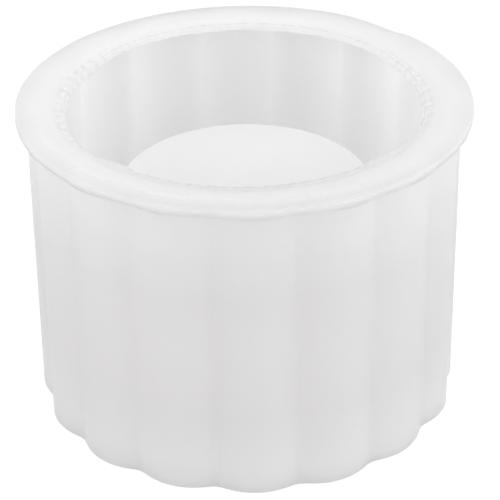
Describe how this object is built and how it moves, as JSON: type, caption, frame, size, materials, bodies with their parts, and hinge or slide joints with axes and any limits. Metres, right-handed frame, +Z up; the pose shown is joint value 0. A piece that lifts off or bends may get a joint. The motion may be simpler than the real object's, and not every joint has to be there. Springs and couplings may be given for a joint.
{
  "type": "silicone vessel mould",
  "caption": "Open round mould of milky silicone with a fluted wall, a broad flat rim and a lift-out centre core, for casting a fluted vessel from fondant, plaster, resin or wax.",
  "frame": {"origin": "on the mould's axis at the level of its foot", "axes": "+Z up along the mould's axis towards the mouth, -Y towards the picture's viewer, +X to the viewer's right"},
  "size_m": [0.1, 0.1, 0.0715],
  "materials": {
    "jacket_silicone": "milky translucent silicone rubber, satin",
    "core_silicone": "milky translucent silicone rubber, satin"
  },
  "bodies": {
    "jacket": {"mould_jacket": "jacket_silicone"},
    "core": {"centre_core": "core_silicone"}
  },
  "joints": [
    {"name": "core_lift", "type": "slide", "parent": "jacket", "child": "core", "axis": [0, 0, 1], "range_m": [0, 0.075]}
  ]
}
